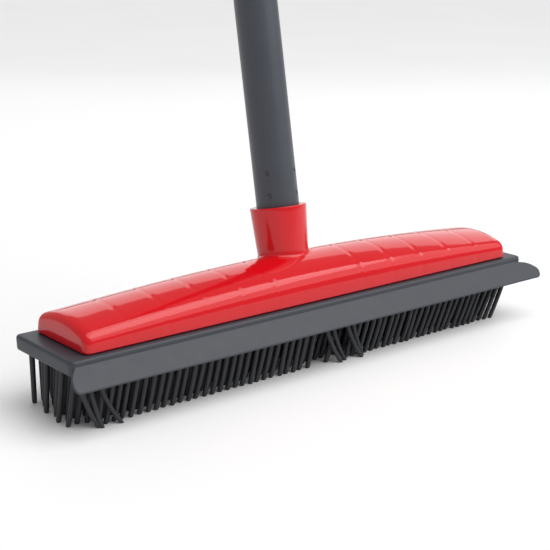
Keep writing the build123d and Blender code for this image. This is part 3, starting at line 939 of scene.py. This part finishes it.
def ringed(along, turn, radius):
    """Round grooves at even lengths, and 60 shallow flutes on the bands between them."""
    pitch = (GRIP_TOP - GRIP_FOOT) / (RINGS + 1)
    away = np.abs((along - GRIP_FOOT + pitch / 2) % pitch - pitch / 2)
    near_end = np.minimum(along - GRIP_FOOT, GRIP_TOP - along) < pitch / 2
    groove = np.where(near_end, 0, np.sqrt(np.clip(1 - (2 * away / RING_GROOVE) ** 2, 0, 1)))
    band = np.clip((away - RING_GROOVE / 2 - BAND_FADE) / BAND_FADE, 0, 1) * ~near_end
    flutes = GRIP_FLUTE_DEPTH * band * (0.5 + 0.5 * np.cos(GRIP_FLUTES * turn))
    return np.where(radius > GRIP_R - SKIN, -RING_DEPTH * groove - flutes, 0)


grip_band = round_band(GRIP_FOOT, GRIP_TOP, GRIP_R, CORE_SLEEVE_R + PRESS_GAP, 1.0)
grip_profile = divided(grip_band, 0.6)
grip_grid = swept(grip_profile[:-1], 200, ringed)
make_piece(
    "grip_sleeve", grip_grid, grid_faces(*grip_grid.shape[:2], join_rows=True), "upper_pole",
    grip_rubber, "grip_rubber", ["hand_grip"],
)
core_profile = soften(
    [(CORE_FOOT + 20, UPPER_R + PRESS_GAP), (CORE_FOOT, UPPER_R + PRESS_GAP),
     (CORE_FOOT, CORE_R), (GRIP_FOOT - SLEEVE_GAP, CORE_R),
     (GRIP_FOOT - SLEEVE_GAP, CORE_SLEEVE_R), (CORE_TOP, CORE_SLEEVE_R),
     (CORE_TOP, UPPER_R + PRESS_GAP), (CORE_FOOT + 20, UPPER_R + PRESS_GAP)],
    [0.3, 1.0, 0.3, 0.1, 0.3, 0.3],
)
core_grid = swept(core_profile[:-1], 128)
make_piece(
    "grip_inner", core_grid, grid_faces(*core_grid.shape[:2], join_rows=True), "upper_pole",
    pole_plastic, "pole_plastic", ["grip_core"],
)

# %% [markdown]
# ### The end plug and the hanging eye
#
# The plug closes the pole's top and holds the eye's shank in a bore, so the eye can turn. The eye
# is a ring on a neck. Round the middle of its hole, its outline is the further of two things: the
# ring's circle, or the neck's straight sides and foot. Its section is a rounded band between hole
# and outline.

# %% The end plug and the hanging eye
PLUG_FOOT, PLUG_TOP, PLUG_R = span("grip_end_plug")
EYE_FOOT, EYE_TOP, FLANGE_R = span("hang_eye")
PLUG_BORE_R, SHANK_R, FLANGE_LOW = 4.1, 4.0, PLUG_TOP + 0.3
HOLE_ALONG, HOLE_R, EYE_R, NECK_HALF, EYE_HALF_THICK = EYE_TOP - 10.0, 5.0, 10.0, 7.5, 3.5
FLANGE_THICK, NECK_SUNK, EYE_BLEND, SHANK_GAP = 3, 2.5, 12, 0.3
INSIDE_TUBE = UPPER_R - TUBE_WALL - PRESS_GAP

plug_profile = soften(
    [(PLUG_FOOT, 0), (PLUG_FOOT, INSIDE_TUBE), (UPPER_TOP, INSIDE_TUBE), (UPPER_TOP, UPPER_R),
     (CORE_TOP, UPPER_R), (CORE_TOP, PLUG_R), (PLUG_TOP, PLUG_R), (PLUG_TOP, PLUG_BORE_R),
     (EYE_FOOT - SHANK_GAP, PLUG_BORE_R), (EYE_FOOT - SHANK_GAP, 0)],
    [0.5, 0.1, 0.1, 0.1, 0.5, 2.6, 0.3, 0.3],
)
plug_grid = swept(plug_profile, 128)
make_piece(
    "grip_end_cap", plug_grid, grid_faces(*plug_grid.shape[:2]), "upper_pole", pole_plastic,
    "pole_plastic", ["grip_end_plug"],
)

eye_turn = np.linspace(0, math.tau, 160, endpoint=False)
sideways, upwards = np.sin(eye_turn), np.cos(eye_turn)
neck_foot = HOLE_ALONG - FLANGE_LOW - NECK_SUNK
neck = np.where(
    upwards < 0,
    np.minimum(
        NECK_HALF / np.maximum(np.abs(sideways), 1e-6), neck_foot / np.maximum(-upwards, 1e-6)
    ),
    0,
)
# A soft maximum rounds the corner where the ring runs into its neck.
eye_reach = (EYE_R**EYE_BLEND + neck**EYE_BLEND) ** (1 / EYE_BLEND)
eye_reach = EYE_R + (eye_reach - EYE_R) * (upwards < 0)
eye_section = soften(
    [(0.5, 1), (0, 1), (0, -1), (1, -1), (1, 1), (0.5, 1)], [0.14, 0.14, 0.14, 0.14], steps=6
)[:-1]
eye_reach_at = HOLE_R + eye_section[:, :1] * (eye_reach - HOLE_R)
eye_grid = (
    POLE_FOOT
    + (HOLE_ALONG + eye_reach_at * upwards)[..., None] * AXIS
    + (eye_reach_at * sideways)[..., None] * ACROSS
    + (eye_section[:, 1:] * EYE_HALF_THICK + 0 * eye_turn)[..., None] * BEHIND
)
shank_profile = soften(
    [(EYE_FOOT, 0), (EYE_FOOT, SHANK_R), (FLANGE_LOW, SHANK_R), (FLANGE_LOW, FLANGE_R),
     (FLANGE_LOW + FLANGE_THICK, FLANGE_R), (FLANGE_LOW + FLANGE_THICK, 0)],
    [0.6, 0.2, 0.4, 0.9],
)
shank_grid = swept(shank_profile, 96)
make_piece(
    "hanging_loop",
    *joined(
        (eye_grid, grid_faces(*eye_grid.shape[:2], join_rows=True)),
        (shank_grid, grid_faces(*shank_grid.shape[:2])),
    ),
    "hanger", red_plastic, "shell_red", ["hang_eye"],
)

# %% [markdown]
# ## Pieces kept from the CAD model
#
# The carrier plate and its screws, the threaded plug, the lock sleeve and the cam are plain
# machined shapes that hardly show. Their CAD meshes are right as they are, and only need the
# finish of what they are made of.

# %% Finishes for the CAD pieces
for node, finish in {
    "carrier_plate": pole_plastic, "carrier_screws": zinc_plate, "threaded_plug": pole_plastic,
    "lock_sleeve": natural_nylon, "cam_core": natural_nylon,
}.items():
    frame["nodes"][node].data.materials.clear()
    frame["nodes"][node].data.materials.append(finish)
    print(node, "is", finish.name)

# %% [markdown]
# ## Floor and light
#
# The broom stands on a pale floor in a bright studio. Glossy plastic shows its surroundings, so the
# lights are chosen for their reflections. A wide panel behind on the right gives the dome its pale
# sheen. It doesn't light matt things, which keeps its edge off the floor. A key from the front
# right models the walls, and the left stays darker. The world is white to the eye, and dimmer as
# a light, so that it doesn't wash the colours out.

# %% Floor
FLOOR_HALF = 40
FLOOR_SIGNS = ((-1, -1), (1, -1), (1, 1), (-1, 1))
floor_mesh = bpy.data.meshes.new("floor")
floor_mesh.from_pydata(
    [(FLOOR_HALF * x, FLOOR_HALF * y, 0) for x, y in FLOOR_SIGNS], [], [(0, 1, 2, 3)]
)
floor = bpy.data.objects.new("floor", floor_mesh)
bpy.context.scene.collection.objects.link(floor)
# A matt sheet: white without reflections, so that only the broom's shadow shows on it.
floor_paint, *_ = coated_surface(
    "matt_white_laminate", "#FEFEFE", "#FBFBFB", 200, 0.6, 1.45, 2, 0.02
)
floor_mesh.materials.append(floor_paint)
print("floor of", floor_paint.name, 2 * FLOOR_HALF, "m across")


# %% Lights
def softbox(name, place, aim, width, height, watts):
    """A rectangular light at a place, turned to face the aim."""
    light = bpy.data.objects.new(name, bpy.data.lights.new(name, "AREA"))
    light.data.shape = "RECTANGLE"
    light.data.size, light.data.size_y, light.data.energy = width, height, watts
    light.location = place
    light.rotation_euler = (Vector(aim) - Vector(place)).to_track_quat("-Z", "Y").to_euler()
    bpy.context.scene.collection.objects.link(light)
    return light


HEAD = (0, 0, 0.05)
softbox("key_front_right", (0.9, -1.0, 1.2), HEAD, 2.0, 1.6, 12)
panel = softbox("panel_behind_right", (0.85, 1.05, 0.6), HEAD, 1.6, 0.9, 4.5)
panel.visible_diffuse = False
sun = bpy.data.objects.new("ceiling", bpy.data.lights.new("ceiling", "SUN"))
sun.data.energy, sun.data.angle = 1.6, math.radians(60)
sun.rotation_euler = (math.radians(20), math.radians(15), 0)
bpy.context.scene.collection.objects.link(sun)

world = bpy.data.worlds.new("studio")
bpy.context.scene.world = world
world.use_nodes = True
WORLD_AS_LIGHT, WORLD_SEEN = 0.42, 1.0
sky = world.node_tree
sky.nodes.clear()
seen = add_node(sky, "ShaderNodeLightPath").outputs["Is Camera Ray"]
dim, white = (
    add_node(sky, "ShaderNodeBackground", {"Color": (1, 1, 1, 1), "Strength": strength})
    for strength in (WORLD_AS_LIGHT, WORLD_SEEN)
)
mixed = add_node(
    sky, "ShaderNodeMixShader", {}, {"Fac": seen, 1: dim.outputs[0], 2: white.outputs[0]}
)
add_node(sky, "ShaderNodeOutputWorld", links={"Surface": mixed.outputs[0]})
bpy.context.scene.view_settings.view_transform = "Standard"

# %% [markdown]
# ## Finish

# %% Finish
bpy.context.view_layer.update()
